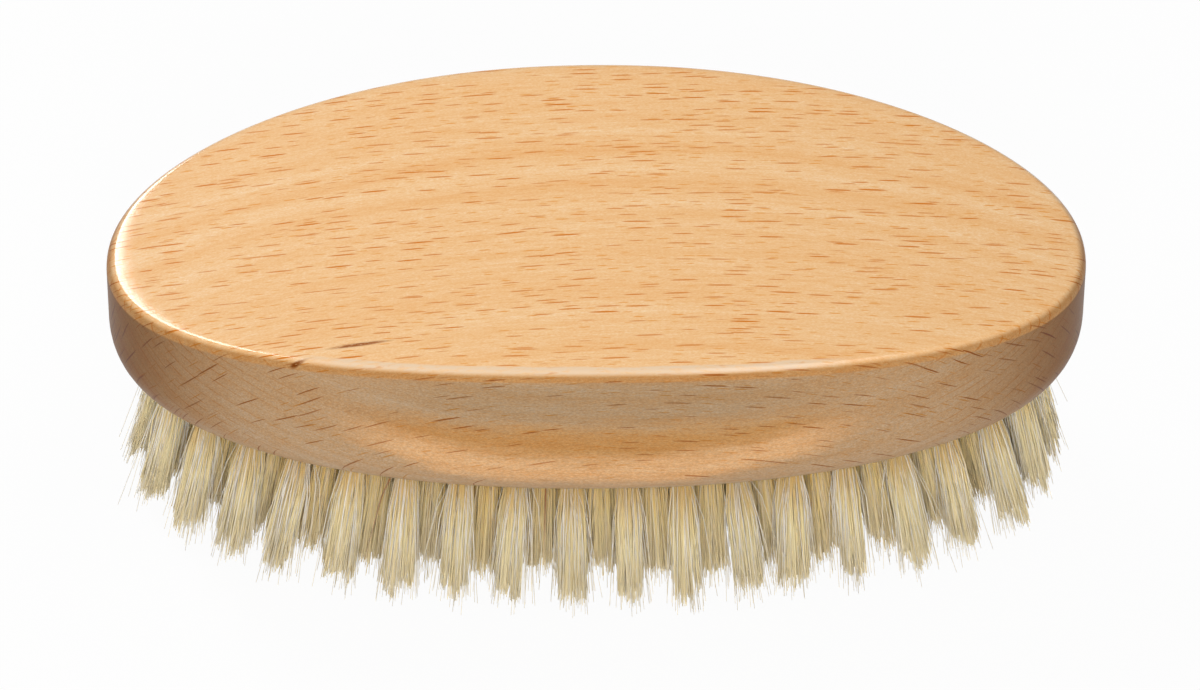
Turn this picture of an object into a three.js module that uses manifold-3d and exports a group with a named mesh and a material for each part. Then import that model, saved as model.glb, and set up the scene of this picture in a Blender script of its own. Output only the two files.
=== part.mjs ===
// An oval beard brush, held in the palm: one solid beech stock, filled with rows of bristle tufts.
// Each tuft is folded over a wire staple that is driven into the bottom of a blind drilled hole.
//
// Millimetres, +Z up. The brush stands on its bristle tips: the origin is the middle of the oval,
// at the level of the tips, and +X runs along the oval.

import * as THREE from 'three';
import { mergeGeometries, mergeVertices } from 'three/addons/utils/BufferGeometryUtils.js';
import Module from 'manifold-3d';

// ---- Driving dimensions -------------------------------------------------------------------

// Stock
const STOCK_LENGTH = 125;
const STOCK_WIDTH = 63;
const STOCK_THICKNESS = 21; // at the middle of the back
const BACK_DROP = 6.2; // the back is arched along its length, and this much lower at its two ends
const OVAL_FULLNESS = 2.15; // exponent of the oval: 2 is an ellipse, and more is fuller
const BACK_EDGE_RADIUS = 1.4;
const FACE_EDGE_INSET = 3.5; // the lower edge is rounded more: this far in from the side
const FACE_EDGE_HEIGHT = 6; // and this far up from the bristle face

// Rows of tufts
const BRISTLE_LENGTH = 21; // from the bristle face to the tips
const ROW_END_DISTANCE = 7.9; // from the ends of the stock to the middle of the nearest holes
const ROW_SIDE_DISTANCE = 6.1; // and the same from its sides
const OVAL_ROWS = 5; // oval rows, outside the straight row in the middle
const TUFT_PITCH = 6.9; // from tuft to tuft along a row
const END_SPLAY = 4.5; // the tufts fan out: how far the tips at the ends lean outwards
const SIDE_SPLAY = 2.8; // and those at the sides

// Tufts
const STRANDS_PER_TUFT = 3;
const STRAND_SIDES = 3;
const STRAND_ROOT_RADIUS = 0.5;
const STRAND_TIP_RADIUS = 0.85;
const TUFT_ROOT_RADIUS = 0.8; // from the middle of a tuft to the middle of its strands
const TUFT_TIP_RADIUS = 1.3;
const LEAN_SCATTER = 0.4; // how far a tuft's tips stray from their place
const TRIM_UNEVENNESS = 1.1; // how much the strands differ in length before the trim
const TRIM_DEPTH = 0.5; // cut off the longest strands, which makes the tips level

// The backing that the tufts are fused to, let into the stock in oval slices
const SLICE_THICKNESS = 5;
const SLICE_EDGE_MARGIN = 2.2; // backing outside the middle of the outer holes
const STRAND_EMBED = 0.6; // length of a strand inside its slice

// Staples of the outer row, in the blind ends of their holes
const HOLE_DIAMETER = 2.6;
const BLIND_DEPTH = 5.4; // the hole goes this much deeper than the backing
const STAPLE_HEIGHT = 4.7;
const STAPLE_WIRE = 0.6;

// Clearances
const FIT_GAP = 0.3;

// How finely the curves are cut
const OVAL_STEPS = 96;
const EDGE_STEPS = 3;
const BACK_RINGS = 5;
const HOLE_SIDES = 10;

const SCATTER_SEED = 20;

// ---- Sizes that follow from them ----------------------------------------------------------

const halfLength = STOCK_LENGTH / 2;
const halfWidth = STOCK_WIDTH / 2;
const faceHeight = BRISTLE_LENGTH;
const crownHeight = faceHeight + STOCK_THICKNESS;
const outerRow = {
  halfLength: halfLength - ROW_END_DISTANCE,
  halfWidth: halfWidth - ROW_SIDE_DISTANCE,
};
const rowPitch = outerRow.halfWidth / OVAL_ROWS;
const pocketRoof = faceHeight + SLICE_THICKNESS + FIT_GAP;
const holeEnd = pocketRoof + BLIND_DEPTH;

// ---- Solids -------------------------------------------------------------------------------

const wasm = await Module();
wasm.setup();

// A closed three.js geometry as a solid that can be joined and cut.
function solidFrom(geometry) {
  const bare = geometry.clone();
  bare.deleteAttribute('normal');
  bare.deleteAttribute('uv');
  const welded = mergeVertices(bare);
  return new wasm.Manifold(new wasm.Mesh({
    numProp: 3,
    vertProperties: new Float32Array(welded.attributes.position.array),
    triVerts: new Uint32Array(welded.index.array),
  }));
}

function geometryFrom(solid) {
  const mesh = solid.getMesh();
  const geometry = new THREE.BufferGeometry();
  geometry.setAttribute('position', new THREE.BufferAttribute(mesh.vertProperties, 3));
  geometry.setIndex(new THREE.BufferAttribute(mesh.triVerts, 1));
  return geometry;
}

// A closed body through rings of points, from the top ring down. The first and the last "ring"
// are single points, which close the two ends.
function bodyThrough(topPoint, rings, bottomPoint) {
  const count = rings[0].length;
  const points = [topPoint, ...rings.flat(), bottomPoint];
  const last = points.length - 1;
  const index = [];
  for (let step = 0; step < count; step += 1) {
    const next = (step + 1) % count;
    index.push(0, 1 + step, 1 + next);
    for (let ring = 0; ring < rings.length - 1; ring += 1) {
      const upper = 1 + ring * count;
      const lower = upper + count;
      index.push(upper + step, lower + step, lower + next);
      index.push(upper + step, lower + next, upper + next);
    }
    index.push(last, last - count + next, last - count + step);
  }
  const geometry = new THREE.BufferGeometry();
  geometry.setFromPoints(points);
  geometry.setIndex(index);
  return geometry;
}

// ---- The oval -----------------------------------------------------------------------------

// A level oval around the origin, anticlockwise from +X.
class Oval extends THREE.Curve {
  constructor(reachX, reachY) {
    super();
    this.reachX = reachX;
    this.reachY = reachY;
    this.arcLengthDivisions = 720;
  }

  getPoint(share) {
    const angle = share * 2 * Math.PI;
    const along = Math.cos(angle);
    const across = Math.sin(angle);
    const power = 2 / OVAL_FULLNESS;
    return new THREE.Vector3(
      this.reachX * Math.sign(along) * Math.abs(along) ** power,
      this.reachY * Math.sign(across) * Math.abs(across) ** power,
      0,
    );
  }

  // Points that are evenly spaced along the oval.
  getRing() {
    return this.getSpacedPoints(OVAL_STEPS).slice(0, OVAL_STEPS);
  }
}

// The outline of the stock, seen from above, or a line inside it.
function outlineRing(inset) {
  return new Oval(halfLength - inset, halfWidth - inset).getRing();
}

// The line of an oval row of tufts, or one outside it. Row 0 is the outer one, and a half of a
// number lies midway between two rows.
function rowOval(rowIndex, outset = 0) {
  const inset = rowIndex * rowPitch - outset;
  return new Oval(outerRow.halfLength - inset, outerRow.halfWidth - inset);
}

function ovalPlate(outerOval, innerOval, bottom, top) {
  const shape = new THREE.Shape(outerOval.getRing());
  if (innerOval) {
    shape.holes.push(new THREE.Path(innerOval.getRing()));
  }
  const plate = new THREE.ExtrudeGeometry(shape, { depth: top - bottom, bevelEnabled: false });
  return solidFrom(plate.translate(0, 0, bottom));
}

// ---- Stock --------------------------------------------------------------------------------

function backHeightAt(x) {
  return crownHeight - BACK_DROP * (x / halfLength) ** 2;
}

// A ring on the back, at a share of the way out from the middle to the edge round.
function backRing(share) {
  return outlineRing(BACK_EDGE_RADIUS).map(({ x, y }) => (
    new THREE.Vector3(x * share, y * share, backHeightAt(x * share))
  ));
}

// The rings of the small round between the back and the side.
function backEdgeRings() {
  const rings = [];
  for (let step = 1; step <= EDGE_STEPS; step += 1) {
    const turn = (step / EDGE_STEPS) * (Math.PI / 2);
    const inset = BACK_EDGE_RADIUS * (1 - Math.sin(turn));
    const fall = BACK_EDGE_RADIUS * (1 - Math.cos(turn));
    rings.push(outlineRing(inset).map(({ x, y }) => (
      new THREE.Vector3(x, y, backHeightAt(x) - fall)
    )));
  }
  return rings;
}

// The rings of the larger round between the side and the bristle face.
function faceEdgeRings() {
  const rings = [];
  for (let step = 0; step <= EDGE_STEPS; step += 1) {
    const turn = (step / EDGE_STEPS) * (Math.PI / 2);
    const inset = FACE_EDGE_INSET * (1 - Math.cos(turn));
    const height = faceHeight + FACE_EDGE_HEIGHT * (1 - Math.sin(turn));
    rings.push(outlineRing(inset).map(({ x, y }) => new THREE.Vector3(x, y, height)));
  }
  return rings;
}

function uncutStock() {
  const rings = [];
  for (let ring = 1; ring <= BACK_RINGS; ring += 1) {
    rings.push(backRing(ring / BACK_RINGS));
  }
  rings.push(...backEdgeRings(), ...faceEdgeRings());
  const crown = new THREE.Vector3(0, 0, crownHeight);
  const faceMiddle = new THREE.Vector3(0, 0, faceHeight);
  return solidFrom(bodyThrough(crown, rings, faceMiddle));
}

// The blind end of a drilled hole, from below the roof of the pocket up.
function blindHole({ x, y }) {
  const bottom = pocketRoof - FIT_GAP;
  const hole = new THREE.CylinderGeometry(
    HOLE_DIAMETER / 2,
    HOLE_DIAMETER / 2,
    holeEnd - bottom,
    HOLE_SIDES,
  );
  hole.rotateX(Math.PI / 2);
  return hole.translate(x, y, (bottom + holeEnd) / 2);
}

function makeStock(outerTufts) {
  const pocketWall = rowOval(0, SLICE_EDGE_MARGIN + FIT_GAP);
  const pocket = ovalPlate(pocketWall, null, faceHeight - FIT_GAP, pocketRoof);
  const holes = solidFrom(mergeGeometries(outerTufts.map(blindHole)));
  return uncutStock().subtract(pocket).subtract(holes);
}

// ---- Where the tufts stand ----------------------------------------------------------------

// A tuft's root, and how far its tips lean. The tufts fan out from the middle of the brush.
function tuftAt(x, y) {
  const leanX = END_SPLAY * (x / outerRow.halfLength);
  const leanY = SIDE_SPLAY * (y / outerRow.halfWidth);
  return { x, y, leanX, leanY };
}

// The tufts of an oval row. The count is 2 more than a multiple of 4, so that the rows are alike
// in all four quarters, and every second row is shifted by half a pitch.
function ovalRow(rowIndex) {
  const row = rowOval(rowIndex);
  const count = 4 * Math.round((row.getLength() / TUFT_PITCH - 2) / 4) + 2;
  const shift = (rowIndex % 2) / 2;
  const tufts = [];
  for (let place = 0; place < count; place += 1) {
    const { x, y } = row.getPointAt((place + shift) / count);
    tufts.push(tuftAt(x, y));
  }
  return tufts;
}

// The straight row in the middle, with one tuft at the very middle of the brush.
function middleRow() {
  const reach = outerRow.halfLength - OVAL_ROWS * rowPitch;
  const perSide = Math.floor(reach / TUFT_PITCH);
  const tufts = [];
  for (let place = -perSide; place <= perSide; place += 1) {
    tufts.push(tuftAt(place * TUFT_PITCH, 0));
  }
  return tufts;
}

// ---- Bristles -----------------------------------------------------------------------------

// A repeatable stand-in for chance: the same numbers between 0 and 1 in every run.
function scatterFrom(seed) {
  let state = seed;
  return () => {
    state = (state * 16807) % 2147483647;
    return state / 2147483647;
  };
}

// A level polygon around a point, clockwise as seen from above.
function strandSection(centre, radius, turn) {
  const corners = [];
  for (let side = 0; side < STRAND_SIDES; side += 1) {
    const angle = turn - (side / STRAND_SIDES) * 2 * Math.PI;
    corners.push(new THREE.Vector3(
      centre.x + radius * Math.cos(angle),
      centre.y + radius * Math.sin(angle),
      centre.z,
    ));
  }
  return corners;
}

// One strand: a slim leaning prism that widens towards its tip, with level ends.
function strandBetween(root, tip, turn) {
  const upper = strandSection(root, STRAND_ROOT_RADIUS, turn);
  const lower = strandSection(tip, STRAND_TIP_RADIUS, turn);
  const index = [];
  for (let side = 0; side < STRAND_SIDES; side += 1) {
    const next = (side + 1) % STRAND_SIDES;
    index.push(side, next, STRAND_SIDES + next);
    index.push(side, STRAND_SIDES + next, STRAND_SIDES + side);
  }
  for (let side = 1; side < STRAND_SIDES - 1; side += 1) {
    index.push(0, side + 1, side);
    index.push(STRAND_SIDES, STRAND_SIDES + side, STRAND_SIDES + side + 1);
  }
  const geometry = new THREE.BufferGeometry();
  geometry.setFromPoints([...upper, ...lower]);
  geometry.setIndex(index);
  return geometry;
}

// The strands of one tuft. The longest would pass the trim level, and are cut off there.
function tuftStrands(tuft, scatter) {
  const tuftTurn = scatter() * 2 * Math.PI;
  const strayX = LEAN_SCATTER * (2 * scatter() - 1);
  const strayY = LEAN_SCATTER * (2 * scatter() - 1);
  const strands = [];
  for (let strand = 0; strand < STRANDS_PER_TUFT; strand += 1) {
    const turn = tuftTurn + (strand / STRANDS_PER_TUFT) * 2 * Math.PI;
    const uncutTip = TRIM_UNEVENNESS * scatter() - TRIM_DEPTH;
    const root = new THREE.Vector3(
      tuft.x + TUFT_ROOT_RADIUS * Math.cos(turn),
      tuft.y + TUFT_ROOT_RADIUS * Math.sin(turn),
      faceHeight + STRAND_EMBED,
    );
    const tip = new THREE.Vector3(
      tuft.x + tuft.leanX + strayX + TUFT_TIP_RADIUS * Math.cos(turn),
      tuft.y + tuft.leanY + strayY + TUFT_TIP_RADIUS * Math.sin(turn),
      Math.max(0, uncutTip),
    );
    strands.push(strandBetween(root, tip, turn));
  }
  return strands;
}

// An oval slice of the backing with its tufts. Slices meet half way between their rows.
function makeBristles(firstRow, lastRow, tufts, scatter) {
  const outerOval = firstRow === 0
    ? rowOval(0, SLICE_EDGE_MARGIN)
    : rowOval(firstRow - 0.5, -FIT_GAP / 2);
  const innerOval = lastRow === OVAL_ROWS
    ? null
    : rowOval(lastRow + 0.5, FIT_GAP / 2);
  const slice = ovalPlate(outerOval, innerOval, faceHeight, faceHeight + SLICE_THICKNESS);
  const strands = tufts.flatMap((tuft) => tuftStrands(tuft, scatter));
  return slice.add(solidFrom(mergeGeometries(strands)));
}

// ---- Staples ------------------------------------------------------------------------------

// A staple of square wire, standing across the grain. Its crown, which holds the tuft's fold, is
// at the bottom, and its two legs point up.
function makeStaple({ x, y }) {
  const halfSpan = HOLE_DIAMETER / 2 - FIT_GAP;
  const innerHalf = halfSpan - STAPLE_WIRE;
  const outline = new THREE.Shape();
  outline.moveTo(-halfSpan, STAPLE_HEIGHT);
  outline.lineTo(-halfSpan, STAPLE_WIRE);
  outline.lineTo(-innerHalf, 0);
  outline.lineTo(innerHalf, 0);
  outline.lineTo(halfSpan, STAPLE_WIRE);
  outline.lineTo(halfSpan, STAPLE_HEIGHT);
  outline.lineTo(innerHalf, STAPLE_HEIGHT);
  outline.lineTo(innerHalf, STAPLE_WIRE);
  outline.lineTo(-innerHalf, STAPLE_WIRE);
  outline.lineTo(-innerHalf, STAPLE_HEIGHT);
  const wire = new THREE.ExtrudeGeometry(outline, { depth: STAPLE_WIRE, bevelEnabled: false });
  wire.translate(0, 0, -STAPLE_WIRE / 2);
  wire.rotateX(Math.PI / 2);
  wire.rotateZ(Math.PI / 2);
  wire.translate(x, y, holeEnd - FIT_GAP - STAPLE_HEIGHT);
  return solidFrom(wire);
}

// ---- The brush ----------------------------------------------------------------------------

const beech = { color: '#dba566', roughness: 0.35, metalness: 0 };
const bristle = { color: '#d9c9a0', roughness: 0.6, metalness: 0 };
const steelWire = { color: '#b8b8b4', roughness: 0.35, metalness: 1 };

function addNode(group, name, solid, finish) {
  const mesh = new THREE.Mesh(geometryFrom(solid), new THREE.MeshStandardMaterial(finish));
  mesh.name = name;
  group.add(mesh);
}

function makeBrush() {
  const brush = new THREE.Group();
  const scatter = scatterFrom(SCATTER_SEED);
  const rows = [];
  for (let rowIndex = 0; rowIndex < OVAL_ROWS; rowIndex += 1) {
    rows.push(ovalRow(rowIndex));
  }
  rows.push(middleRow());

  addNode(brush, 'stock', makeStock(rows[0]), beech);

  const slices = [
    { name: 'bristles_outer_row', firstRow: 0, lastRow: 0 },
    { name: 'bristles_second_row', firstRow: 1, lastRow: 1 },
    { name: 'bristles_inner_rows', firstRow: 2, lastRow: 3 },
    { name: 'bristles_middle', firstRow: 4, lastRow: OVAL_ROWS },
  ];
  for (const { name, firstRow, lastRow } of slices) {
    const tufts = rows.slice(firstRow, lastRow + 1).flat();
    addNode(brush, name, makeBristles(firstRow, lastRow, tufts, scatter), bristle);
  }

  rows[0].forEach((tuft, place) => {
    const number = String(place + 1).padStart(2, '0');
    addNode(brush, `staple_${number}`, makeStaple(tuft), steelWire);
  });
  return brush;
}

export default makeBrush();
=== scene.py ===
"""An oval beard brush with its looks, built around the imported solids.

Everything is in metres in the frame of the solids: the brush stands on its bristle tips at z = 0,
and +X runs along the oval. The sizes come from the frame, or from the named values below.
"""

import math

import bmesh
import bpy
import numpy as np
from mathutils import Euler, Matrix, Vector


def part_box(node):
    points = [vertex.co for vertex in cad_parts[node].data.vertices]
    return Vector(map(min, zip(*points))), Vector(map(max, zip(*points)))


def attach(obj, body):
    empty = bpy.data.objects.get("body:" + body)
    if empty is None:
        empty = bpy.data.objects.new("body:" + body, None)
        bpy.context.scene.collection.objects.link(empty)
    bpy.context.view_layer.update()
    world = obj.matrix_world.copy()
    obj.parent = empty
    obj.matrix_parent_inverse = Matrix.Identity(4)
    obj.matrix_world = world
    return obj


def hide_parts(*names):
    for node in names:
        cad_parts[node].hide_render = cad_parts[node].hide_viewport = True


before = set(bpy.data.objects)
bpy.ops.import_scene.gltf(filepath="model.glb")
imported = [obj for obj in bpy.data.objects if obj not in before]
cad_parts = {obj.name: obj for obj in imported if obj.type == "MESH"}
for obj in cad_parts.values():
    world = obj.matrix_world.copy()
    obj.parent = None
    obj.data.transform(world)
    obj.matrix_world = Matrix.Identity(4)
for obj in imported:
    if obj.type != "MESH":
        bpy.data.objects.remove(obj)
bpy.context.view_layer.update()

MM = 0.001

# ---- Sizes of the stock --------------------------------------------------------------------

stock_low, stock_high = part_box("stock")
HALF_LENGTH = stock_high.x
HALF_WIDTH = stock_high.y
FACE_HEIGHT = stock_low.z
CROWN_HEIGHT = stock_high.z

BACK_DROP = 6.2 * MM
OVAL_FULLNESS = 2.15
BACK_EDGE_RADIUS = 1.4 * MM
SANDING_REACH = 2 * MM
SANDING_DEPTH = 0.06 * MM
FACE_EDGE_INSET = 3.5 * MM
FACE_EDGE_HEIGHT = 6 * MM

# ---- Places of the tufts -------------------------------------------------------------------

ROW_END_DISTANCE = 7.9 * MM
ROW_SIDE_DISTANCE = 6.1 * MM
OVAL_ROWS = 5
TUFT_PITCH = 6.9 * MM
OUTER_ROW_X = HALF_LENGTH - ROW_END_DISTANCE
OUTER_ROW_Y = HALF_WIDTH - ROW_SIDE_DISTANCE
ROW_PITCH = OUTER_ROW_Y / OVAL_ROWS
END_SPLAY = 4.5 * MM
SIDE_SPLAY = 2.8 * MM

# ---- Drilled holes and staples -------------------------------------------------------------

HOLE_RADIUS = 1.3 * MM
HOLE_CHAMFER = 0.2 * MM
HOLE_DEPTH = 10.7 * MM
DRILL_POINT = 0.5 * MM

STAPLE_TOP = HOLE_DEPTH - 0.3 * MM
STAPLE_HEIGHT = 4.7 * MM
STAPLE_HALF_SPAN = 0.7 * MM
STAPLE_WIRE_RADIUS = 0.3 * MM
STAPLE_BEND_RADIUS = 0.45 * MM

# ---- Hairs ---------------------------------------------------------------------------------

# For the hairs of each group of rows: their number in a tuft, the reach of their tips, how light
# they are (0 is the deep tint, and the low values of the rows behind the outer one are painted
# shade), and how strong the painted glints among them are.
HAIRS_PER_TUFT = {"outer_row": 350, "second_row": 380, "inner_rows": 240, "middle": 240}
TUFT_TIP_RADIUS = {
    "outer_row": 2.2 * MM,
    "second_row": 2.8 * MM,
    "inner_rows": 2.6 * MM,
    "middle": 2.4 * MM,
}
# Painted shade: the rows behind the outer one are less light, so they take more of the deep tint.
ROW_SHADE = {"outer_row": 0.72, "second_row": 0.35, "inner_rows": 0.4, "middle": 0.4}
ROW_GLINT = {"outer_row": 1, "second_row": 0.35, "inner_rows": 0.35, "middle": 0.35}

HAIR_SIDES = 3
HAIR_LEVELS = (0, 0.4, 1)
HAIR_ROOT_RADIUS = 0.09 * MM
HAIR_TIP_RADIUS = 0.055 * MM
HAIR_HIDDEN = 1 * MM
HAIR_BEND = 0.25 * MM
HAIR_SHADE_SPREAD = 0.07
TUFT_ROOT_RADIUS = 1.2 * MM
TUFT_WIDTH_SPREAD = (0.8, 1.15)
TUFT_FLARE = 0.6
TUFT_STRAY = 0.4 * MM
TUFT_SHADE_SPREAD = 0.05
CLUMPS_PER_TUFT = 7
CLUMP_PULL = 0.4
CLUMP_UNEVENNESS = 2.7 * MM
HAIR_UNEVENNESS = 1.2 * CLUMP_UNEVENNESS
SHORT_HAIR_RARITY = 1.3
TIP_CLEARANCE = 0.9 * MM
BOX_MARGIN = 0.3 * MM
HAIR_SEED = 7

# Wisps are thin hairs that leave the shape of the tuft, strays are the few that stand well out
# of it, and glint hairs are nearly white: painted glints of light, on them and on the wisps.
WISP_SHARE = 0.18
WISP_THICKNESS = 0.6
WISP_GLINT = 0.85
WISP_TIP_RADIUS = 3.4 * MM
WISP_TIP_KEPT = 0.5
WISP_TIP_ASTRAY = 0.8
STRAY_SHARE = 0.015
STRAY_REACH = 5 * MM
GLINT_SHARE = 0.17
GLINT_THICKNESS = 1.05

# Single dark hairs at the front, in millimetres: along the row, then the root and the tip
# from the middle of the tuft, and the height of the tip.
DARK_HAIRS = {
    "outer_row": ((-24.1, (-1.1, -0.4), (-3.9, 1.6), 5),),
    "second_row": ((-7.1, (0.2, -1.25), (0.3, -4.1), 6),),
}
DARK_THICKNESS = 1.5

# ---- How finely the curves are cut ---------------------------------------------------------

OUTLINE_STEPS = 256
OVAL_SAMPLES = 2048
BACK_RINGS = 20
EDGE_STEPS = 10
HOLE_SIDES = 16
WIRE_SIDES = 8
BEND_STEPS = 4
SHARP_ANGLE = math.radians(30)

# ---- Camera --------------------------------------------------------------------------------

CAMERA_AIM = Vector((0.5 * MM, 0, 20.1 * MM))
CAMERA_DISTANCE = 924 * MM
CAMERA_AZIMUTH = math.radians(-1.146)
CAMERA_ELEVATION = math.radians(40.54)
CAMERA_ROLL = math.radians(0.322)
CAMERA_LENS = 214.93
SENSOR_WIDTH = 36


# ---- Ovals ---------------------------------------------------------------------------------

def oval_line(reach_x, reach_y):
    """The closed line of a level oval, finely sampled, and the distance along it."""
    angle = np.linspace(0, 2 * math.pi, OVAL_SAMPLES + 1)
    along = np.cos(angle)
    across = np.sin(angle)
    power = 2 / OVAL_FULLNESS
    x = reach_x * np.sign(along) * np.abs(along) ** power
    y = reach_y * np.sign(across) * np.abs(across) ** power
    steps = np.hypot(np.diff(x), np.diff(y))
    return x, y, np.concatenate(([0], np.cumsum(steps)))


def oval_points(reach_x, reach_y, count, shift=0.0):
    """Evenly spaced points of an oval, anticlockwise from +X."""
    x, y, distance = oval_line(reach_x, reach_y)
    wanted = (np.arange(count) + shift) / count * distance[-1]
    return np.column_stack((np.interp(wanted, distance, x), np.interp(wanted, distance, y)))


def outline(inset):
    """The outline of the stock seen from above, or a line inside it."""
    return oval_points(HALF_LENGTH - inset, HALF_WIDTH - inset, OUTLINE_STEPS)


def oval_row(row):
    """The tufts of an oval row: their number is 2 more than a multiple of 4."""
    reach_x = OUTER_ROW_X - row * ROW_PITCH
    reach_y = OUTER_ROW_Y - row * ROW_PITCH
    length = oval_line(reach_x, reach_y)[2][-1]
    count = 4 * round((length / TUFT_PITCH - 2) / 4) + 2
    return oval_points(reach_x, reach_y, count, (row % 2) / 2)


def middle_row():
    """The straight row in the middle."""
    reach = OUTER_ROW_X - OVAL_ROWS * ROW_PITCH
    per_side = math.floor(reach / TUFT_PITCH)
    x = np.arange(-per_side, per_side + 1) * TUFT_PITCH
    return np.column_stack((x, np.zeros(len(x))))


# ---- Mesh helpers --------------------------------------------------------------------------

def link_mesh(name, mesh):
    piece = bpy.data.objects.new(name, mesh)
    bpy.context.scene.collection.objects.link(piece)
    return piece


def smooth_piece(name, bm):
    """The piece that a finished bmesh makes."""
    bmesh.ops.recalc_face_normals(bm, faces=bm.faces)
    mesh = bpy.data.meshes.new(name)
    bm.to_mesh(mesh)
    bm.free()
    mesh.shade_smooth()
    return link_mesh(name, mesh)


def unit_circle(sides):
    angle = np.arange(sides) / sides * 2 * math.pi
    return np.column_stack((np.cos(angle), np.sin(angle)))


def ring_of(bm, points, height):
    """A ring of new vertices through level points. The height is one value, or one per point."""
    heights = np.broadcast_to(height, len(points))
    return [bm.verts.new((x, y, z)) for (x, y), z in zip(points, heights)]


def skin(bm, rings):
    """Quads from each ring of vertices to the next."""
    for upper, lower in zip(rings, rings[1:]):
        for near in range(len(upper)):
            far = (near + 1) % len(upper)
            bm.faces.new((upper[near], lower[near], lower[far], upper[far]))


def fan(bm, ring, point):
    """Triangles from a ring of vertices to one point."""
    tip = bm.verts.new(point)
    for near in range(len(ring)):
        bm.faces.new((ring[near], ring[(near + 1) % len(ring)], tip))


def ring_edges(bm, ring):
    return [bm.edges.get((ring[near - 1], ring[near])) for near in range(len(ring))]


# ---- Stock ---------------------------------------------------------------------------------

def back_height(x):
    return CROWN_HEIGHT - BACK_DROP * (x / HALF_LENGTH) ** 2


def back_rings(bm):
    """The arched back, closer rings near its edge, where the sanding wore it a little lower."""
    rings = []
    edge = outline(BACK_EDGE_RADIUS)
    for step in range(1, BACK_RINGS + 1):
        points = edge * (1 - (1 - step / BACK_RINGS) ** 2)
        distance = np.linalg.norm(edge - points, axis=1)
        worn = SANDING_DEPTH * np.clip(1 - distance / SANDING_REACH, 0, 1) ** 2
        rings.append(ring_of(bm, points, back_height(points[:, 0]) - worn))
    return rings


def back_edge_rings(bm):
    """The small round between the back and the side."""
    rings = []
    for step in range(1, EDGE_STEPS + 1):
        turn = step / EDGE_STEPS * math.pi / 2
        points = outline(BACK_EDGE_RADIUS * (1 - math.sin(turn)))
        fall = SANDING_DEPTH + (BACK_EDGE_RADIUS - SANDING_DEPTH) * (1 - math.cos(turn))
        rings.append(ring_of(bm, points, back_height(points[:, 0]) - fall))
    return rings


def face_edge_rings(bm):
    """The larger round between the side and the bristle face."""
    rings = []
    for step in range(EDGE_STEPS + 1):
        turn = step / EDGE_STEPS * math.pi / 2
        points = outline(FACE_EDGE_INSET * (1 - math.cos(turn)))
        rings.append(ring_of(bm, points, FACE_HEIGHT + FACE_EDGE_HEIGHT * (1 - math.sin(turn))))
    return rings


def drill_hole(bm, place):
    """A blind hole with a small chamfer. Returns the ring of its rim."""
    circle = unit_circle(HOLE_SIDES)
    rim = ring_of(bm, place + circle * (HOLE_RADIUS + HOLE_CHAMFER), FACE_HEIGHT)
    neck = ring_of(bm, place + circle * HOLE_RADIUS, FACE_HEIGHT + HOLE_CHAMFER)
    end = ring_of(bm, place + circle * HOLE_RADIUS, FACE_HEIGHT + HOLE_DEPTH)
    skin(bm, [rim, neck, end])
    fan(bm, end, (*place, FACE_HEIGHT + HOLE_DEPTH + DRILL_POINT))
    return rim


def make_stock(tufts):
    bm = bmesh.new()
    rings = back_rings(bm) + back_edge_rings(bm) + face_edge_rings(bm)
    fan(bm, rings[0], (0, 0, CROWN_HEIGHT))
    skin(bm, rings)
    edges = ring_edges(bm, rings[-1])
    for place in tufts:
        edges += ring_edges(bm, drill_hole(bm, place))
    bmesh.ops.triangle_fill(bm, edges=edges, use_beauty=True)
    stock = smooth_piece("stock_wood", bm)
    stock.data.set_sharp_from_angle(angle=SHARP_ANGLE)
    return stock


# ---- Staples -------------------------------------------------------------------------------

def staple_path():
    """The line of the wire in the plane across the grain, from leg end to leg end."""
    bottom = STAPLE_TOP - STAPLE_HEIGHT + STAPLE_WIRE_RADIUS
    bend = STAPLE_HALF_SPAN - STAPLE_BEND_RADIUS
    path = [(-STAPLE_HALF_SPAN, STAPLE_TOP)]
    for side, start in ((-1, math.pi), (1, 1.5 * math.pi)):
        for turn in np.linspace(start, start + math.pi / 2, BEND_STEPS):
            path.append((
                side * bend + STAPLE_BEND_RADIUS * math.cos(turn),
                bottom + STAPLE_BEND_RADIUS * (1 + math.sin(turn)),
            ))
    path.append((STAPLE_HALF_SPAN, STAPLE_TOP))
    return np.array(path)


def add_staple(bm, place):
    path = staple_path()
    tangents = np.gradient(path, axis=0)
    rings = []
    for (y, z), tangent in zip(path, tangents):
        across = np.array((tangent[1], -tangent[0])) / np.linalg.norm(tangent)
        ring = []
        for side in range(WIRE_SIDES):
            turn = side / WIRE_SIDES * 2 * math.pi
            out = STAPLE_WIRE_RADIUS * math.cos(turn)
            ring.append(bm.verts.new((
                place[0] + STAPLE_WIRE_RADIUS * math.sin(turn),
                place[1] + y + out * across[0],
                FACE_HEIGHT + z + out * across[1],
            )))
        rings.append(ring)
    skin(bm, rings)
    bm.faces.new(rings[0])
    bm.faces.new(rings[-1])


def make_staples(tufts):
    bm = bmesh.new()
    for place in tufts:
        add_staple(bm, place)
    return smooth_piece("staples_inner_rows", bm)


# ---- Hairs ---------------------------------------------------------------------------------

def disc(chance, count, radius):
    """Points spread evenly over a level disc."""
    reach = radius * np.sqrt(chance.random(count))
    turn = chance.random(count) * 2 * math.pi
    return np.column_stack((reach * np.cos(turn), reach * np.sin(turn)))


def tuft_lean(place):
    """How far the tips of a tuft stand outwards from its roots."""
    return np.array((END_SPLAY * place[0] / OUTER_ROW_X, SIDE_SPLAY * place[1] / OUTER_ROW_Y))


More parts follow.
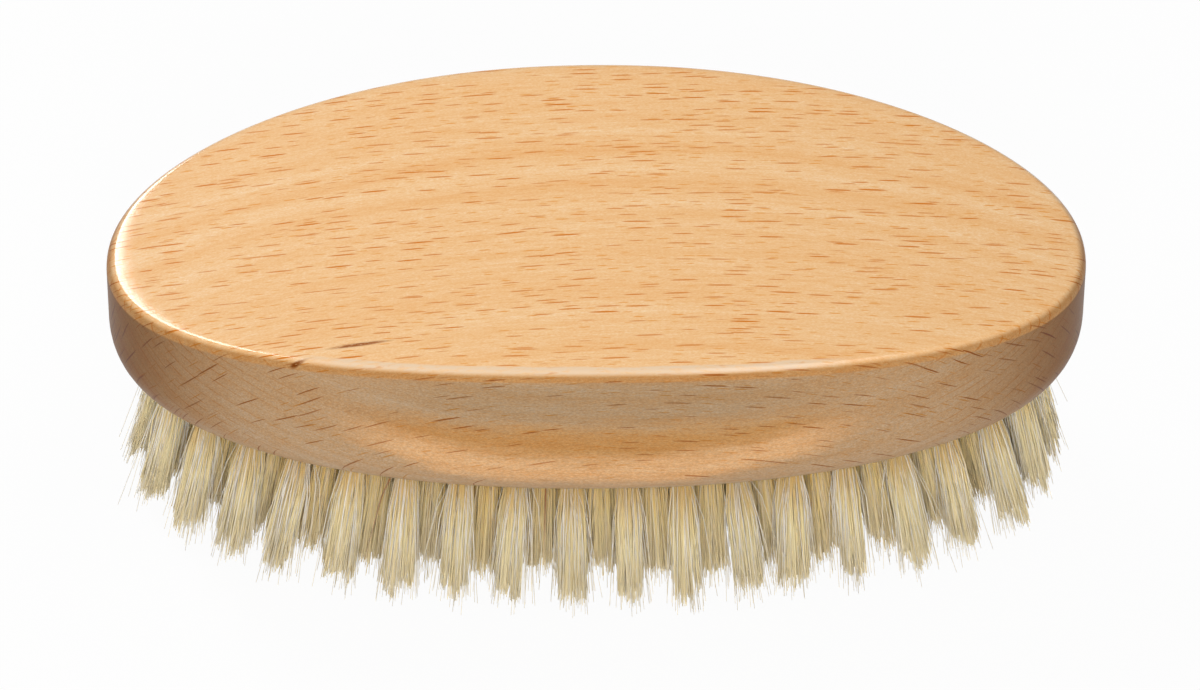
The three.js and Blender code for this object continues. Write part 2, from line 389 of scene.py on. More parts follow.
def tuft_hairs(place, count, tip_radius, shade, glint_strength, chance):
    """A tuft's hairs: roots, tips, lean, bends, thickness, how light, painted glint, how dark."""
    roots = disc(chance, count, TUFT_ROOT_RADIUS)
    tip_radius = tip_radius * chance.uniform(*TUFT_WIDTH_SPREAD)
    tips = roots / TUFT_ROOT_RADIUS * tip_radius

    clumps = disc(chance, CLUMPS_PER_TUFT, tip_radius)
    gaps = np.linalg.norm(tips[:, None] - clumps[None], axis=2)
    clump = gaps.argmin(axis=1)
    tips += (clumps[clump] - tips) * CLUMP_PULL * chance.random((count, 1))
    clump_height = TIP_CLEARANCE + CLUMP_UNEVENNESS * chance.random(CLUMPS_PER_TUFT)
    shortfall = HAIR_UNEVENNESS * chance.random(count) ** SHORT_HAIR_RARITY
    tip_height = clump_height[clump] + shortfall

    wisp = chance.random(count) < WISP_SHARE
    astray = disc(chance, count, WISP_TIP_RADIUS)
    tips[wisp] = (WISP_TIP_KEPT * tips + WISP_TIP_ASTRAY * astray)[wisp]
    tip_height[wisp] *= chance.random(count)[wisp]
    stray = chance.random(count) < STRAY_SHARE
    tips[stray] += disc(chance, count, STRAY_REACH)[stray]

    lean = np.tile(tuft_lean(place) + chance.normal(0, TUFT_STRAY, 2), (count, 1))
    tips += lean
    bends = chance.normal(0, HAIR_BEND, (count, 2))
    shades = chance.normal(shade, HAIR_SHADE_SPREAD, count) + chance.normal(0, TUFT_SHADE_SPREAD)
    # Painted glints: a share of the hairs, and the wisps, are turned nearly white.
    glint = chance.random(count) < GLINT_SHARE
    thin = wisp | stray
    thickness = np.where(thin, WISP_THICKNESS, np.where(glint, GLINT_THICKNESS, 1))
    glint = glint_strength * np.where(thin, WISP_GLINT, glint * np.sqrt(chance.random(count)))
    limit = np.array((HALF_LENGTH, HALF_WIDTH)) - BOX_MARGIN
    tips = np.clip(tips + place, -limit, limit)
    roots = np.column_stack((roots + place, np.full(count, FACE_HEIGHT + HAIR_HIDDEN)))
    tips = np.column_stack((tips, np.maximum(tip_height, 0)))
    return roots, tips, lean, bends, thickness, np.clip(shades, 0, 1), glint, np.zeros(count)


def dark_hair(tufts, along, root, tip, height):
    """One dark hair at the front of the tuft that stands nearest to a place along the row."""
    front = tufts[tufts[:, 1] < 0]
    place = front[np.abs(front[:, 0] - along * MM).argmin()]
    root = (*(place + np.array(root) * MM), FACE_HEIGHT + HAIR_HIDDEN)
    tip = (*(place + tuft_lean(place) + np.array(tip) * MM), height * MM)
    values = root, tip, tuft_lean(place), (0, 0), DARK_THICKNESS, 0, 0, 1
    return [np.array([value], dtype=float) for value in values]


def hair_points(roots, tips, lean, bends, thickness, chance):
    """The corners of every hair: an array of hair, level, side and coordinate."""
    level = np.array(HAIR_LEVELS)
    flare = level ** TUFT_FLARE - level
    middle = roots[:, None] + (tips - roots)[:, None] * level[:, None]
    middle[:, :, :2] += (tips[:, :2] - roots[:, :2] - lean)[:, None] * flare[:, None]
    middle[:, :, :2] += bends[:, None] * (level * (1 - level) * 4)[:, None]
    radius = HAIR_ROOT_RADIUS + (HAIR_TIP_RADIUS - HAIR_ROOT_RADIUS) * level ** 2
    radius = thickness[:, None] * radius[None]
    turn = chance.random(len(roots))[:, None] * 2 * math.pi
    turn = turn + np.arange(HAIR_SIDES)[None] / HAIR_SIDES * 2 * math.pi
    corner = np.stack((np.cos(turn), np.sin(turn), np.zeros_like(turn)), axis=2)
    return middle[:, :, None] + corner[:, None] * radius[:, :, None, None]


def hair_faces(count):
    """The quads round each hair, and the triangles that close its two ends."""
    segments = len(HAIR_LEVELS) - 1
    level, side = np.meshgrid(np.arange(segments), np.arange(HAIR_SIDES), indexing="ij")
    here = (level * HAIR_SIDES + side).ravel()
    beside = (level * HAIR_SIDES + (side + 1) % HAIR_SIDES).ravel()
    quads = np.column_stack((here, here + HAIR_SIDES, beside + HAIR_SIDES, beside))
    first = np.arange(count)[:, None] * len(HAIR_LEVELS) * HAIR_SIDES
    quads = (quads.ravel()[None] + first).reshape(-1, 4)
    last = segments * HAIR_SIDES
    caps = np.array((0, 1, 2, last + 2, last + 1, last))
    caps = (caps[None] + first).reshape(-1, 3)
    return quads, caps


def make_hairs(field, tufts, chance):
    name = f"hairs_{field}"
    tables = HAIRS_PER_TUFT, TUFT_TIP_RADIUS, ROW_SHADE, ROW_GLINT
    looks = [table[field] for table in tables]
    parts = [tuft_hairs(place, *looks, chance) for place in tufts]
    parts += [dark_hair(tufts, *dark) for dark in DARK_HAIRS.get(field, ())]
    parts = [np.concatenate(values) for values in zip(*parts)]
    roots, tips, lean, bends, thickness, shade, glint, dark = parts
    points = hair_points(roots, tips, lean, bends, thickness, chance)
    quads, caps = hair_faces(len(roots))
    mesh = bpy.data.meshes.new(name)
    mesh.from_pydata(points.reshape(-1, 3).tolist(), [], quads.tolist() + caps.tolist())
    mesh.shade_smooth()
    for attribute, values in (("shade", shade), ("glint", glint), ("dark", dark)):
        values = np.repeat(values, len(HAIR_LEVELS) * HAIR_SIDES).astype(np.float32)
        mesh.attributes.new(attribute, "FLOAT", "POINT").data.foreach_set("value", values)
    return link_mesh(name, mesh)


# ---- Shader helpers ------------------------------------------------------------------------

def srgb(red, green, blue):
    """A colour given as it looks on a screen, from 0 to 255, as a linear one."""
    def linear(value):
        share = value / 255
        return share / 12.92 if share <= 0.04045 else ((share + 0.055) / 1.055) ** 2.4
    return linear(red), linear(green), linear(blue), 1


WHITE = (1, 1, 1, 1)


class Graph:
    """A material's nodes, with one short call for each kind that the materials here use."""

    def __init__(self, name):
        self.material = bpy.data.materials.new(name)
        self.material.use_nodes = True
        self.tree = self.material.node_tree
        self.shader = self.tree.nodes["Principled BSDF"]

    def node(self, kind, settings=None, inputs=None):
        node = self.tree.nodes.new(kind)
        for key, value in (settings or {}).items():
            setattr(node, key, value)
        for key, value in (inputs or {}).items():
            self.feed(node.inputs[key], value)
        return node

    def feed(self, socket, value):
        if isinstance(value, bpy.types.NodeSocket):
            self.tree.links.new(value, socket)
        else:
            socket.default_value = value

    def set(self, **values):
        for key, value in values.items():
            self.feed(self.shader.inputs[key.replace("_", " ")], value)

    # What a point of the surface knows about itself.

    def place(self):
        return self.node("ShaderNodeTexCoord").outputs["Object"]

    def place_in_millimetres(self):
        return self.scaled(self.place(), [1 / MM] * 3)

    def normal(self):
        return self.node("ShaderNodeNewGeometry").outputs["Normal"]

    def attribute(self, name):
        return self.node("ShaderNodeAttribute", {"attribute_name": name}).outputs["Fac"]

    # Numbers.

    def math(self, operation, first, second=0.0, third=0.0):
        inputs = {0: first, 1: second, 2: third}
        return self.node("ShaderNodeMath", {"operation": operation}, inputs).outputs[0]

    def product(self, first, *others):
        for other in others:
            first = self.math("MULTIPLY", first, other)
        return first

    def swing(self, noise, reach):
        """A noise that swings around 0 instead of 0.5, times its reach."""
        return self.math("MULTIPLY", self.math("SUBTRACT", noise, 0.5), reach)

    def remap(self, value, from_min, from_max, to_min=0.0, to_max=1.0):
        inputs = {
            "Value": value,
            "From Min": from_min,
            "From Max": from_max,
            "To Min": to_min,
            "To Max": to_max,
        }
        settings = {"interpolation_type": "SMOOTHSTEP"}
        return self.node("ShaderNodeMapRange", settings, inputs).outputs[0]

    # Vectors.

    def vector(self, x=0.0, y=0.0, z=0.0):
        return self.node("ShaderNodeCombineXYZ", {}, {0: x, 1: y, 2: z}).outputs[0]

    def parts(self, vector):
        return self.node("ShaderNodeSeparateXYZ", {}, {0: vector}).outputs

    def vector_node(self, operation, inputs):
        return self.node("ShaderNodeVectorMath", {"operation": operation}, inputs)

    def scaled(self, vector, scale):
        return self.vector_node("MULTIPLY", {0: vector, 1: scale}).outputs[0]

    def moved(self, vector, offset):
        return self.vector_node("ADD", {0: vector, 1: offset}).outputs[0]

    def between(self, start, end):
        return self.vector_node("SUBTRACT", {0: end, 1: start}).outputs[0]

    def length(self, vector):
        return self.vector_node("LENGTH", {0: vector}).outputs[1]

    def facing(self, vector, direction):
        return self.vector_node("DOT_PRODUCT", {0: vector, 1: direction}).outputs[1]

    def mapped(self, vector, place, turn, size):
        """A vector in the axes of a turned box: 0 in its middle, and 1 at its reach."""
        settings = {"vector_type": "TEXTURE"}
        inputs = {"Vector": vector, "Location": place, "Rotation": turn, "Scale": size}
        return self.node("ShaderNodeMapping", settings, inputs).outputs[0]

    # Patterns and colours.

    def noise(self, vector, detail=2.0, roughness=0.5):
        inputs = {"Vector": vector, "Scale": 1.0, "Detail": detail, "Roughness": roughness}
        return self.node("ShaderNodeTexNoise", {}, inputs).outputs["Fac"]

    def line_noise(self, value, detail):
        inputs = {"W": value, "Scale": 1.0, "Detail": detail}
        return self.node("ShaderNodeTexNoise", {"noise_dimensions": "1D"}, inputs).outputs["Fac"]

    def bump(self, height, distance, strength):
        inputs = {"Height": height, "Distance": distance, "Strength": strength}
        return self.node("ShaderNodeBump", {}, inputs).outputs[0]

    def mix(self, share, first, second, blend="MIX"):
        settings = {"data_type": "RGBA", "blend_type": blend}
        inputs = {0: share, 6: first, 7: second}
        return self.node("ShaderNodeMix", settings, inputs).outputs[2]

    def tinted(self, color, tint):
        return self.mix(1.0, color, tint, "MULTIPLY")


# ---- Beech: the grain and its colours ------------------------------------------------------

# A noise is given as its waves to a millimetre: along the grain, along the rings and outwards.

GRAIN_TURN = math.radians(2.7)
GRAIN_BOW = 0.0007
GRAIN_SWAY = 3
GRAIN_SWAY_NOISE = (0.025, 0.06, 0.06)
WOOD_COLOR = srgb(237, 189, 133)

RING_WAVES = 0.5
RING_DEPTH = 0.5
CLOUD_NOISE = (0.05, 0.5, 0.5)
CLOUD_DEPTH = 0.28
STREAK_NOISE = (0.3, 4, 4)
STREAK_DEPTH = 0.55
PORE_NOISE = (2.5, 9, 9)
PORE_DEPTH = 1.1

# The lines between the rings: how many to a millimetre, their half width as a share of a ring,
# the noise that breaks them, and how deep they are on the sides and on the ends.
RING_LINES_PER_MM = 0.8
RING_LINE_REACH = 0.09
RING_LINE_NOISE = (0.3, 0.8, 0.8)
RING_LINE_TURN = (0.2, 0.7)
RING_LINE_DEPTHS = (0.1, 0.8)

# Rays, in millimetres: the cell that holds one at most, the reach of one from its middle, the
# share of the cells that hold one, and how far the cells are moved, in cells.
RAY_TILT = math.radians(35)
FAINT_RAYS = ((2.6, 0.75, 6), (1.1, 0.13, 2.8), 0.85, (0.3, 0.7, 0.1))
STRONG_RAYS = ((4.2, 0.9, 8), (2.35, 0.175, 4), 0.8, (5.3, 2.7, 8.1))
RAY_SCATTER = 0.9
RAY_SIZES = (0.6, 1)
RAY_STRENGTHS = (0.7, 1)
RAY_CORE = 0.6
RAY_LEAST_SLANT = 0.02
RAY_SIDE_SLANT = 0.75
RAY_COLOR = srgb(208, 118, 0)
RAY_SIDE_COLOR = srgb(178, 100, 26)
RAY_FAINT_COLOR = srgb(226, 152, 62)

# Dark marks in the wood: the middle and the reach in millimetres, and the turn in degrees.
MARK_COLOR = srgb(150, 80, 6)
DARK_MARKS = (
    ((-37.4, -25.5, 39.2), (5, 0.42, 0.9), 13),
    ((-29.9, -23.5, 40.4), (5.2, 0.45, 2), 5),
)
MARK_CORE = 0.3
MARK_NOISE = (1.5, 4, 4)

# The painted highlight along the front edge, a light line of painted light: its inner and outer
# border, as shares of the way from the middle of the oval to its outline, its two ends in
# millimetres, and the share of the half length over which it fades there. The inner border sways.
RIM_HIGHLIGHT_COLOR = srgb(229, 199, 165)
RIM_HIGHLIGHT_INNER = (0.941, 0.954)
RIM_HIGHLIGHT_OUTER = (0.99, 0.975)
RIM_HIGHLIGHT_REACH = (-31, 24)
RIM_HIGHLIGHT_FADE = 0.15
RIM_HIGHLIGHT_LEAST_HEIGHT = 36
RIM_HIGHLIGHT_SWAY = 0.035
RIM_HIGHLIGHT_SWAY_NOISE = (0.09, 0.09, 0.09)
RIM_HIGHLIGHT_NOISE = (0.7, 2.5, 2.5)


def grain_coordinates(graph):
    """Millimetres along the grain (X), along the rings (Y) and out from the heart (Z)."""
    turn = Euler((RAY_TILT, 0, GRAIN_TURN))
    straight = graph.mapped(graph.place(), (0, 0, 0), turn, (MM, MM, MM))
    sway = graph.swing(graph.noise(graph.scaled(straight, GRAIN_SWAY_NOISE), detail=1), GRAIN_SWAY)
    along = graph.parts(straight)[0]
    bow = graph.math("ADD", graph.product(along, along, GRAIN_BOW), sway)
    return graph.moved(straight, graph.vector(y=bow, z=sway))


def wood_depth(graph, grain):
    """How deep the colour of the wood is, around 1: wide rings, streaks along them and pores."""
    out = graph.parts(grain)[2]
    rings = graph.line_noise(graph.math("MULTIPLY", out, RING_WAVES), detail=5)
    cloud = graph.noise(graph.scaled(grain, CLOUD_NOISE), detail=3)
    streaks = graph.noise(graph.scaled(grain, STREAK_NOISE), detail=3)
    pores = graph.noise(graph.scaled(grain, PORE_NOISE), detail=2, roughness=0.7)
    depth = 1.0
    layers = (rings, RING_DEPTH), (cloud, CLOUD_DEPTH), (streaks, STREAK_DEPTH), (pores, PORE_DEPTH)
    for noise, share in layers:
        depth = graph.math("ADD", graph.swing(noise, share), depth)
    return depth, streaks


def ring_lines(graph, grain, endwise):
    """Thin lines where one growth ring ends and the next begins: how much they deepen."""
    settings = {"voronoi_dimensions": "1D", "feature": "DISTANCE_TO_EDGE"}
    inputs = {"W": graph.parts(grain)[2], "Scale": RING_LINES_PER_MM}
    edge = graph.node("ShaderNodeTexVoronoi", settings, inputs).outputs[0]
    fading = graph.noise(graph.scaled(grain, RING_LINE_NOISE))
    lines = graph.product(graph.remap(edge, RING_LINE_REACH, 0), graph.remap(fading, 0.35, 0.6))
    return graph.product(lines, graph.remap(endwise, *RING_LINE_TURN, *RING_LINE_DEPTHS))


def ray_slant(graph):
    """How squarely the surface cuts the flat rays: 1 across them, near 0 along them."""
    across = Euler((RAY_TILT, 0, GRAIN_TURN)).to_matrix() @ Vector((0, 1, 0))
    facing = graph.facing(graph.normal(), across)
    square = graph.math("SUBTRACT", 1 + RAY_LEAST_SLANT, graph.product(facing, facing))
    return graph.math("SQRT", square)


def rays(graph, grain, slant, cell, reach, share, offset):
    """Slim spindles scattered through the wood: a mask that is 1 inside them."""
    spots = graph.moved(graph.scaled(grain, [1 / side for side in cell]), offset)
    inputs = {"Vector": spots, "Scale": 1.0, "Randomness": RAY_SCATTER}
    cells = graph.node("ShaderNodeTexVoronoi", {}, inputs)
    kept_chance, size_chance, strength_chance = graph.parts(cells.outputs["Color"])
    away = graph.between(cells.outputs["Position"], spots)
    along, across, deep = [side / half for side, half in zip(cell, reach)]
    stretch = graph.vector(along, graph.math("DIVIDE", across, slant), deep)
    distance = graph.length(graph.scaled(away, stretch))
    size = graph.remap(size_chance, 0, 1, *RAY_SIZES)
    mask = graph.remap(graph.math("DIVIDE", distance, size), 1, RAY_CORE)
    kept = graph.math("GREATER_THAN", kept_chance, 1 - share)
    return graph.product(kept, mask, graph.remap(strength_chance, 0, 1, *RAY_STRENGTHS))


def dark_marks(graph):
    """The few dark marks: a mask that is 1 in the middle of each."""
    place = graph.place_in_millimetres()
    marks = 0.0
    for middle, reach, turn in DARK_MARKS:
        away = graph.mapped(place, middle, Euler((0, 0, math.radians(turn))), reach)
        marks = graph.math("MAXIMUM", graph.remap(graph.length(away), 1, MARK_CORE), marks)
    broken = graph.noise(graph.scaled(place, MARK_NOISE), detail=3)
    return graph.product(marks, graph.remap(broken, 0.25, 0.5, 0.2, 1))


def painted_rim_highlight(graph):
    """The light line of painted highlight along the front edge of the back: a mask, 1 on it."""
    place = graph.place_in_millimetres()
    share = graph.scaled(place, (MM / HALF_LENGTH, MM / HALF_WIDTH, 1))
    along, across, height = graph.parts(share)
    powers = [
        graph.math("POWER", graph.math("ABSOLUTE", side), OVAL_FULLNESS)
        for side in (along, across)
    ]
    outwards = graph.math("POWER", graph.math("ADD", *powers), 1 / OVAL_FULLNESS)
    sway = graph.noise(graph.scaled(place, RIM_HIGHLIGHT_SWAY_NOISE), detail=3)
    swayed = graph.math("ADD", graph.swing(sway, RIM_HIGHLIGHT_SWAY), outwards)
    left, right = [end * MM / HALF_LENGTH for end in RIM_HIGHLIGHT_REACH]
    broken = graph.noise(graph.scaled(place, RIM_HIGHLIGHT_NOISE), detail=3)
    return graph.product(
        graph.remap(swayed, *RIM_HIGHLIGHT_INNER),
        graph.remap(outwards, *RIM_HIGHLIGHT_OUTER),
        graph.remap(along, left - RIM_HIGHLIGHT_FADE, left),
        graph.remap(along, right + RIM_HIGHLIGHT_FADE, right),
        graph.math("LESS_THAN", across, 0),
        graph.math("GREATER_THAN", height, RIM_HIGHLIGHT_LEAST_HEIGHT),
        graph.remap(broken, 0.3, 0.55, 0.45, 1),
    )


# ---- Beech: painted shade on its edges and sides -------------------------------------------

# Painted light and shade, as tints against the untinted back: painted shade on the upper round edge
# and on the sides, a grayish band of painted shade over a warmer lens-shaped patch on the front, a
# painted shine low in that patch, painted shade on the lower round, and on the ends the darker end
# grain with painted shade.
EDGE_SHADE_TINT = srgb(186, 172, 152)
SIDE_SHADE_TINT = srgb(179, 180, 186)
BAND_SHADE_TINT = srgb(168, 172, 181)
LENS_TINT = srgb(184, 169, 142)
SHINE_TINT = srgb(214, 209, 209)
BOTTOM_SHADE_TINT = srgb(181, 185, 196)
END_GRAIN_AND_SHADE_TINT = srgb(130, 108, 68)
TINT_SWAY = 5
TINT_SWAY_NOISE = (0.12, 0.3, 0.5)

# The painted shade on the front of the stock, in millimetres: a grayish band over a warmer,
# lens-shaped patch, with a painted shine low in the patch.
BAND_HEIGHT = 37
BAND_REACH = (36, 6)
LENS_TOP = (35.8, 31)
LENS_FOOT = (22.5, 25)
LENS_RISE = 0.0048
LENS_END = (37, 22)
SHINE_HEIGHT = (29.8, 26.3)
ABOVE_SIDE = (30, 33)

# Where one look turns into the next, as two shares of the normal: 1 where the surface faces up,
# to the back or to an end squarely, and 0 where it is edge on.
BACK_TO_SIDE = (0.9, 0.5)
BACK_TO_EDGE = (0.97, 0.62)
SIDE_TO_EDGE = (0.08, 0.3)
COAT_TURN = (0.65, 0.85)
MOTTLE_TURN = (0.9, 0.4)
FRONT_TURN = (0, -0.3)
END_TURN = (0.3, 0.9)

MOTTLE_NOISE = (2.5, 5, 5)
MOTTLE_DEPTH = 0.9
SIDE_COAT = 0.1
SPECKLE_NOISE = (4.5, 4.5, 4.5)
SPECKLE_HEIGHT = 0.013 * MM
STREAK_HEIGHT = 0.004 * MM


def painted_front_shade(graph, along, height, foot, front):
    """Painted shade on the side: the band, and the lens-shaped patch with its painted shine."""
    level_away = graph.math("DIVIDE", along, BAND_REACH[0])
    high_away = graph.math("DIVIDE", graph.math("SUBTRACT", height, BAND_HEIGHT), BAND_REACH[1])
    away = graph.length(graph.vector(x=level_away, z=high_away))
    band = graph.product(graph.remap(away, 1, 0.4), front)
    lens = graph.product(
        graph.remap(height, *LENS_TOP),
        front,
        graph.remap(graph.math("ABSOLUTE", along), *LENS_END),
    )
    warm = graph.mix(graph.remap(foot, *SHINE_HEIGHT), LENS_TINT, SHINE_TINT)
    return graph.mix(lens, graph.mix(band, SIDE_SHADE_TINT, BAND_SHADE_TINT), warm)


def painted_side_shade(graph, crosswise, level, endwise):
    """Painted shade that darkens the round edges and the sides of the stock against its back."""
    place = graph.place_in_millimetres()
    sway = graph.noise(graph.scaled(place, TINT_SWAY_NOISE), detail=6, roughness=0.68)
    shift = graph.vector(z=graph.swing(sway, TINT_SWAY))
    along, _, height = graph.parts(graph.moved(place, shift))
    foot = graph.math("SUBTRACT", height, graph.product(along, along, LENS_RISE))

    front = graph.remap(crosswise, *FRONT_TURN)
    side = painted_front_shade(graph, along, height, foot, front)
    # Painted shade on the lower round, below the foot of the patch.
    side = graph.mix(graph.remap(foot, *LENS_FOOT, 1, 0), side, BOTTOM_SHADE_TINT)
    # On the ends: the darker end grain, and painted shade over it.
    side = graph.mix(graph.remap(endwise, *END_TURN), side, END_GRAIN_AND_SHADE_TINT)

    edge = graph.mix(graph.remap(level, *BACK_TO_EDGE), WHITE, EDGE_SHADE_TINT)
    share = graph.product(graph.remap(height, *ABOVE_SIDE), graph.remap(level, *SIDE_TO_EDGE))
    return graph.mix(share, side, edge)


def beech_material():
    graph = Graph("beech_lacquered")
    grain = grain_coordinates(graph)
    lengthwise, crosswise, upwards = graph.parts(graph.normal())
    endwise = graph.math("ABSOLUTE", lengthwise)
    level = graph.math("ABSOLUTE", upwards)

    depth, streaks = wood_depth(graph, grain)
    depth = graph.math("ADD", depth, ring_lines(graph, grain, endwise))
    color = graph.node("ShaderNodeGamma", {}, {0: WOOD_COLOR, 1: depth}).outputs[0]

    slant = graph.product(ray_slant(graph), graph.remap(level, *BACK_TO_SIDE, 1, RAY_SIDE_SLANT))
    color = graph.mix(rays(graph, grain, slant, *FAINT_RAYS), color, RAY_FAINT_COLOR)
    ray_color = graph.mix(graph.remap(level, *BACK_TO_SIDE), RAY_COLOR, RAY_SIDE_COLOR)
    color = graph.mix(rays(graph, grain, slant, *STRONG_RAYS), color, ray_color)
    color = graph.mix(dark_marks(graph), color, MARK_COLOR)
    # A painted highlight: the light line along the front edge of the back.
    color = graph.mix(painted_rim_highlight(graph), color, RIM_HIGHLIGHT_COLOR)

    # Painted shade darkens the edges, sides and ends against the back.
    color = graph.tinted(color, painted_side_shade(graph, crosswise, level, endwise))
    mottle = graph.noise(graph.scaled(grain, MOTTLE_NOISE), detail=3, roughness=0.7)
    mottle = graph.swing(mottle, graph.remap(level, *MOTTLE_TURN, 0, MOTTLE_DEPTH))
    mottle = graph.math("ADD", mottle, 1.0)
    color = graph.tinted(color, graph.vector(mottle, mottle, mottle))

    speckle = graph.noise(graph.scaled(grain, SPECKLE_NOISE), detail=2)
    graph.set(
        Base_Color=color,
        Roughness=0.5,
        Specular_IOR_Level=0.12,
        Coat_Weight=graph.remap(level, *COAT_TURN, SIDE_COAT, 1.0),
        Coat_Roughness=0.05,
        Coat_Normal=graph.bump(speckle, SPECKLE_HEIGHT, 1.0),
        Normal=graph.bump(streaks, STREAK_HEIGHT, 0.5),
    )
    return graph.material


# ---- Bristle and wire ----------------------------------------------------------------------

# Hair colours. The root colour is painted shade under the stock, the tip colour painted light
# through the thin tips, the glint colour painted glints, and the deep tint serves both random tone
# and painted shade on the rows behind the outer one.
HAIR_ROOT_SHADE_COLOR = srgb(188, 147, 78)
HAIR_MIDDLE_COLOR = srgb(255, 243, 196)
HAIR_TIP_LIGHT_COLOR = srgb(255, 253, 245)
HAIR_GLINT_COLOR = srgb(254, 254, 254)
HAIR_DARK_COLOR = srgb(136, 72, 26)
HAIR_TONE_AND_SHADE_TINT = srgb(255, 214, 132)
SHEEN_TINT = srgb(255, 236, 190)

# Heights along the hairs, where one colour turns into the next: the darker roots are painted
# shade under the stock, and the whiter tips painted light shining through them.
HAIR_ROOT_TURN = (FACE_HEIGHT * 0.4, FACE_HEIGHT * 1.05)
HAIR_TIP_TURN = (0, FACE_HEIGHT * 0.12)
GLINT_TURN = (FACE_HEIGHT * 0.5, FACE_HEIGHT)
GLINT_ROOT_SHARE = 0.3

STEEL_COLOR = srgb(186, 185, 180)
STEEL_ROUGHNESS = (0.25, 0.45)
DRAWN_NOISE = (4, 4, 0.4)


def bristle_material():
    graph = Graph("bristle_hairs")
    height = graph.parts(graph.place())[2]
    # Painted shade darkens the roots under the stock, and painted light whitens the thin tips.
    color = graph.mix(graph.remap(height, *HAIR_ROOT_TURN), HAIR_MIDDLE_COLOR, HAIR_ROOT_SHADE_COLOR)
    color = graph.mix(graph.remap(height, *HAIR_TIP_TURN, 1, 0), color, HAIR_TIP_LIGHT_COLOR)
    # A deeper, warmer tint where the hairs are less light: random tone, and painted shade on the
    # rows behind the outer one.
    color = graph.tinted(color, graph.mix(graph.attribute("shade"), HAIR_TONE_AND_SHADE_TINT, WHITE))
    # Painted glints: glint hairs turned nearly white, less so towards the roots.
    glint = graph.product(
        graph.attribute("glint"), graph.remap(height, *GLINT_TURN, 1, GLINT_ROOT_SHARE))
    color = graph.mix(glint, color, HAIR_GLINT_COLOR)
    color = graph.mix(graph.attribute("dark"), color, HAIR_DARK_COLOR)
    graph.set(
        Base_Color=color,
        Roughness=0.45,
        Specular_IOR_Level=0.2,
        Subsurface_Weight=0.6,
        Subsurface_Radius=(1.0, 0.85, 0.6),
        Subsurface_Scale=0.3 * MM,
        Sheen_Weight=1.0,
        Sheen_Roughness=0.6,
        Sheen_Tint=SHEEN_TINT,
    )
    return graph.material


def steel_material():
    graph = Graph("staple_steel")
    drawn = graph.noise(graph.scaled(graph.place_in_millimetres(), DRAWN_NOISE), detail=2)
    graph.set(
        Base_Color=STEEL_COLOR,
        Metallic=1.0,
        Roughness=graph.remap(drawn, 0.3, 0.7, *STEEL_ROUGHNESS),
    )
    return graph.material


# ---- Stage ---------------------------------------------------------------------------------

FLOOR_REACH = 3
FLOOR_COLOR = (0.72, 0.72, 0.72, 1)
FLOOR_WHITE_SHARE = 0.95
FILL_STRENGTH = 0.26

# Each lamp: the direction it stands in, its distance, its width and height, its watts, which
# way its height points, and whether it shows in reflections.
LAMPS = {
    "lamp_above": ((0.3, 0, 1), 0.9, (0.28, 1.0), 1.85, (0, 1, 0), True),
    "lamp_front": ((-0.02, -1, 0.5), 1.15, (0.4, 0.8), 11.3, (0, 0, 1), False),
    "lamp_left_back": (
        (-0.47, 0.69, 0.58), 0.8, (0.13, 0.74), 3.4, (-0.01, -0.45, 0.5), True),
}


def floor_material():
    """Pale, lifted to white for the camera and in reflections, and clear from below."""
    graph = Graph("floor_pale")
    graph.set(Base_Color=FLOOR_COLOR, Roughness=0.9)
    white = graph.node("ShaderNodeEmission", {}, {"Color": WHITE, "Strength": 1.0})
    path = graph.node("ShaderNodeLightPath").outputs
    seen = graph.math("MAXIMUM", path["Is Camera Ray"], path["Is Glossy Ray"])
    inputs = {
        0: graph.product(seen, FLOOR_WHITE_SHARE),
        1: graph.shader.outputs[0],
        2: white.outputs[0],
    }
    lifted = graph.node("ShaderNodeMixShader", {}, inputs)
    clear = graph.node("ShaderNodeBsdfTransparent")
    behind = graph.node("ShaderNodeNewGeometry").outputs["Backfacing"]
    inputs = {0: behind, 1: lifted.outputs[0], 2: clear.outputs[0]}
    surface = graph.node("ShaderNodeMixShader", {}, inputs)
    graph.feed(graph.tree.nodes["Material Output"].inputs["Surface"], surface.outputs[0])
    return graph.material


def make_floor():
    mesh = bpy.data.meshes.new("floor")
    corners = [
        (x * FLOOR_REACH, y * FLOOR_REACH, 0) for x, y in ((-1, -1), (1, -1), (1, 1), (-1, 1))]
    mesh.from_pydata(corners, [], [(0, 1, 2, 3)])
    floor = link_mesh("floor", mesh)
    floor.data.materials.append(floor_material())


def make_world():
    """White for the camera, and an even, dimmer fill on the brush."""
    world = bpy.data.worlds.new("studio")
    bpy.context.scene.world = world
    world.use_nodes = True
    tree = world.node_tree
    fill = tree.nodes["Background"]
    fill.inputs["Color"].default_value = WHITE
    fill.inputs["Strength"].default_value = FILL_STRENGTH
    white = tree.nodes.new("ShaderNodeBackground")
    white.inputs["Color"].default_value = WHITE
    seen = tree.nodes.new("ShaderNodeLightPath").outputs["Is Camera Ray"]
    mix = tree.nodes.new("ShaderNodeMixShader")
    for source, socket in zip((seen, fill.outputs[0], white.outputs[0]), mix.inputs):
        tree.links.new(source, socket)
    tree.links.new(mix.outputs[0], tree.nodes["World Output"].inputs["Surface"])


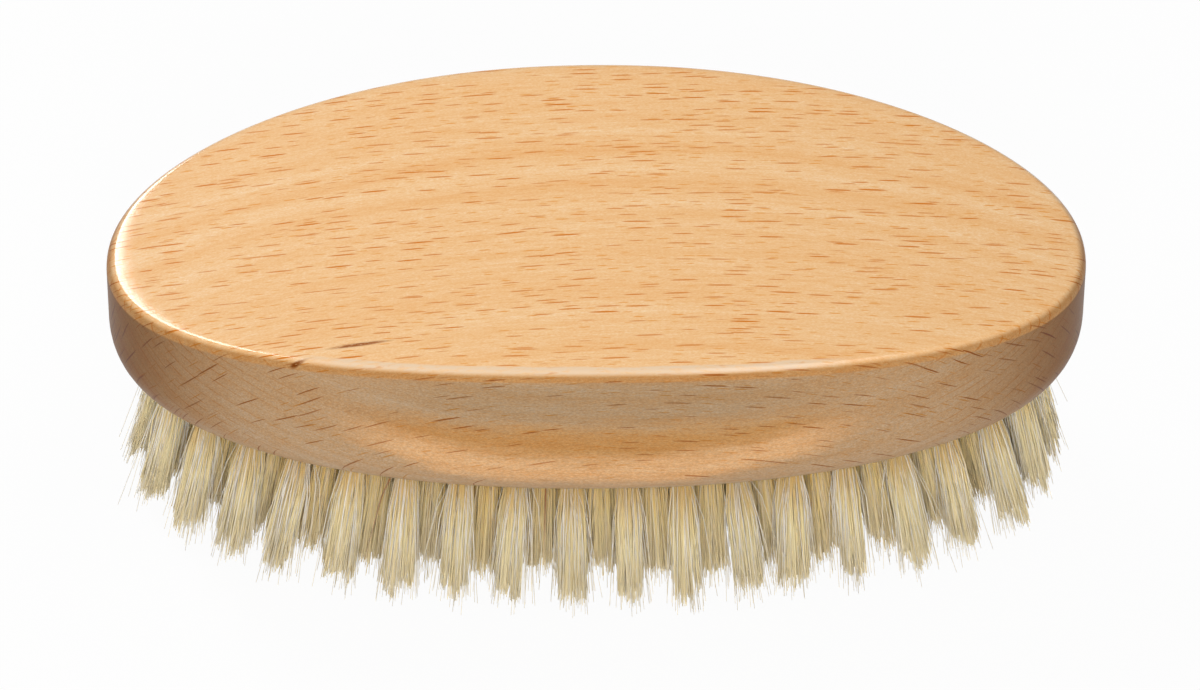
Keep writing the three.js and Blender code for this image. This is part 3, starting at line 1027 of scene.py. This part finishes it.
def make_lamp(name, direction, distance, size, watts, upright, mirrored):
    """A lamp that faces the brush from a direction."""
    light = bpy.data.lights.new(name, "AREA")
    light.shape = "RECTANGLE"
    light.size, light.size_y = size
    light.energy = watts
    lamp = bpy.data.objects.new(name, light)
    back = Vector(direction).normalized()
    side = Vector(upright).cross(back).normalized()
    turn = Matrix((side, back.cross(side), back)).transposed()
    lamp.rotation_euler = turn.to_euler()
    lamp.location = CAMERA_AIM + back * distance
    lamp.visible_glossy = mirrored
    bpy.context.scene.collection.objects.link(lamp)


def make_camera():
    camera_data = bpy.data.cameras.new("camera")
    camera_data.lens = CAMERA_LENS
    camera_data.sensor_width = SENSOR_WIDTH
    camera = bpy.data.objects.new("camera", camera_data)
    tilt = Euler((math.pi / 2 - CAMERA_ELEVATION, 0, CAMERA_AZIMUTH)).to_matrix()
    roll = Euler((0, 0, CAMERA_ROLL)).to_matrix()
    turn = tilt @ roll
    camera.rotation_euler = turn.to_euler()
    camera.location = CAMERA_AIM + turn @ Vector((0, 0, CAMERA_DISTANCE))
    bpy.context.scene.collection.objects.link(camera)
    bpy.context.scene.camera = camera


# ---- The brush -----------------------------------------------------------------------------

def finish_piece(piece, material, slot, *replaced):
    piece.data.materials.append(material)
    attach(piece, "root")
    if replaced:
        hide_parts(*replaced)


def make_brush():
    rows = [oval_row(row) for row in range(OVAL_ROWS)] + [middle_row()]
    beech = beech_material()
    bristle = bristle_material()
    steel = steel_material()

    finish_piece(make_stock(np.concatenate(rows)), beech, "beech", "stock")
    finish_piece(make_staples(np.concatenate(rows[1:])), steel, "staple_wire")
    for name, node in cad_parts.items():
        if name.startswith("staple_"):
            node.data.materials.clear()
            node.data.materials.append(steel)

    chance = np.random.default_rng(HAIR_SEED)
    fields = {
        "outer_row": rows[:1],
        "second_row": rows[1:2],
        "inner_rows": rows[2:4],
        "middle": rows[4:],
    }
    for field, field_rows in fields.items():
        hairs = make_hairs(field, np.concatenate(field_rows), chance)
        finish_piece(hairs, bristle, "bristle", f"bristles_{field}")


bpy.context.scene.view_settings.view_transform = "Standard"
make_camera()
make_world()
make_floor()
for lamp_name, lamp_facts in LAMPS.items():
    make_lamp(lamp_name, *lamp_facts)
make_brush()
